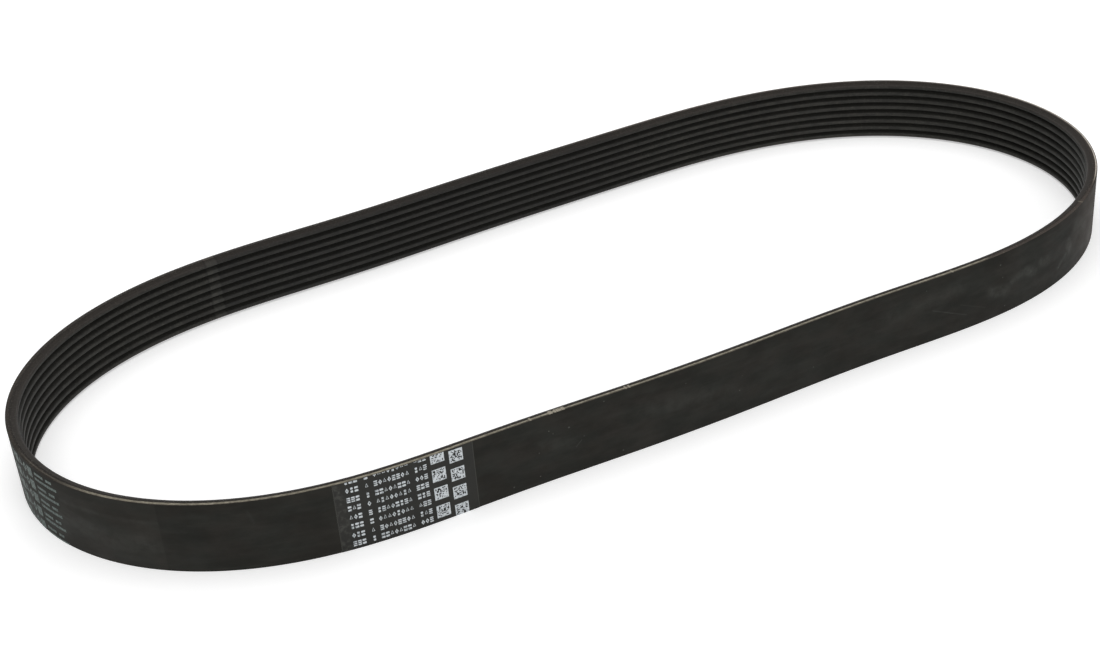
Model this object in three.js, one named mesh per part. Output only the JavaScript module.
// Multi-ribbed serpentine belt for a car engine, lying free and standing on one of its cut edges.
// Millimetres, +Z up. X runs along the loop and Y across it.
// The origin is under the middle of the loop, on the surface that the belt stands on.

import * as THREE from 'three';
import { LoftGeometry } from 'three/addons/geometries/LoftGeometry.js';

// Rib profile, at the standard pitch and angle for belts of this kind
const ribCount = 8;
const ribPitch = 3.56;
const ribAngle = THREE.MathUtils.degToRad( 40 );
const ribTipRadius = 0.5;
const grooveRadius = 0.3;

// Depths, square to the smooth back
const backToGroove = 2;
const grooveToTip = 2.3;

// Loop at rest, over the smooth back
const loopLength = 476.3;
const loopWidth = 193;

// Waves that turn a plain ellipse into long straight runs with round ends
const endFullness = 23.3;
const endCrown = 5.1;
const sideFullness = 23.7;
const sideCrown = 4.9;

// Waves that leave the limp loop a little uneven
const bluntEnd = 3.5;
const endSkew = 2;
const sideSkew = 1.7;
const sideBow = 2.5;
const sideBend = 1.2;
const sideRipple = 1.2;

// Fineness of the solid
const loopSteps = 76;
const arcSteps = 2;

const beltWidth = ribCount * ribPitch;

// The smooth back seen from above, counter-clockwise round the loop
class BackLine extends THREE.Curve {

	getPoint( share, target = new THREE.Vector3() ) {

		const turn = share * 2 * Math.PI;
		const ellipseLength = loopLength / 2 - endFullness - endCrown;
		const ellipseWidth = loopWidth / 2 + sideFullness - sideCrown;
		const along = ellipseLength * Math.cos( turn )
			+ bluntEnd * Math.cos( 2 * turn )
			+ endFullness * Math.cos( 3 * turn )
			+ endSkew * Math.sin( 4 * turn )
			+ endCrown * Math.cos( 5 * turn );
		const across = ellipseWidth * Math.sin( turn )
			+ sideSkew * Math.sin( 2 * turn )
			- sideBow * Math.cos( 2 * turn )
			+ sideFullness * Math.sin( 3 * turn )
			- sideBend * Math.cos( 3 * turn )
			- sideRipple * Math.cos( 4 * turn )
			+ sideCrown * Math.sin( 5 * turn );
		return target.set( along, across, 0 );

	}

}

function arc( centreDepth, centreHeight, radius, from, to ) {

	const curve = new THREE.EllipseCurve( centreDepth, centreHeight, radius, radius, from, to, to < from );
	return curve.getPoints( arcSteps );

}

// Outline of the section: x is the depth from the smooth back towards the inside of the loop, and
// y is the height above the lower edge. Each edge is a clean cut down the middle of a groove.
function beltSection() {

	const flankLean = ribAngle / 2;
	const flankTurn = Math.PI / 2 - flankLean;
	const tipCentreDepth = backToGroove + grooveToTip - ribTipRadius;
	const grooveCentreDepth = backToGroove + grooveRadius;

	// Angles on the groove's round floor where it meets the flanks of the rib above and below it
	const ribAbove = Math.PI - flankTurn;
	const ribBelow = Math.PI + flankTurn;

	// From the middle of a groove to the centre of the next tip corner, with the flank touching both
	const flankRise = ( tipCentreDepth - grooveCentreDepth ) * Math.tan( flankLean );
	const cornerRise = flankRise + ( grooveRadius + ribTipRadius ) / Math.cos( flankLean );

	const outline = [ new THREE.Vector2( 0, 0 ) ];
	outline.push( ...arc( grooveCentreDepth, 0, grooveRadius, Math.PI, ribAbove ) );
	for ( let rib = 0; rib < ribCount; rib ++ ) {

		const bottom = rib * ribPitch;
		const top = bottom + ribPitch;
		outline.push( ...arc( tipCentreDepth, bottom + cornerRise, ribTipRadius, - flankTurn, 0 ) );
		outline.push( ...arc( tipCentreDepth, top - cornerRise, ribTipRadius, 0, flankTurn ) );
		if ( rib < ribCount - 1 ) {

			outline.push( ...arc( grooveCentreDepth, top, grooveRadius, ribBelow, ribAbove ) );

		}

	}

	outline.push( ...arc( grooveCentreDepth, beltWidth, grooveRadius, ribBelow, Math.PI ) );
	outline.push( new THREE.Vector2( 0, beltWidth ) );
	return outline;

}

// The section carried round the loop, always square to the back
function beltGeometry() {

	const backLine = new BackLine();
	const outline = beltSection();
	const up = new THREE.Vector3( 0, 0, 1 );
	const sections = [];
	for ( let step = 0; step < loopSteps; step ++ ) {

		const share = step / loopSteps;
		const back = backLine.getPointAt( share );
		const inward = new THREE.Vector3().crossVectors( up, backLine.getTangentAt( share ) );
		sections.push( outline.map( ( point ) => back.clone()
			.addScaledVector( inward, point.x )
			.addScaledVector( up, point.y ) ) );

	}

	sections.push( sections[ 0 ] );
	const geometry = new LoftGeometry( sections );
	return geometry.center().translate( 0, 0, beltWidth / 2 );

}

const rubber = new THREE.MeshStandardMaterial( { color: 0x2d2d2a, roughness: 0.6, metalness: 0 } );

const belt = new THREE.Mesh( beltGeometry(), rubber );
belt.name = 'ribbed_belt';

const serpentineBelt = new THREE.Group();
serpentineBelt.add( belt );

export default serpentineBelt;
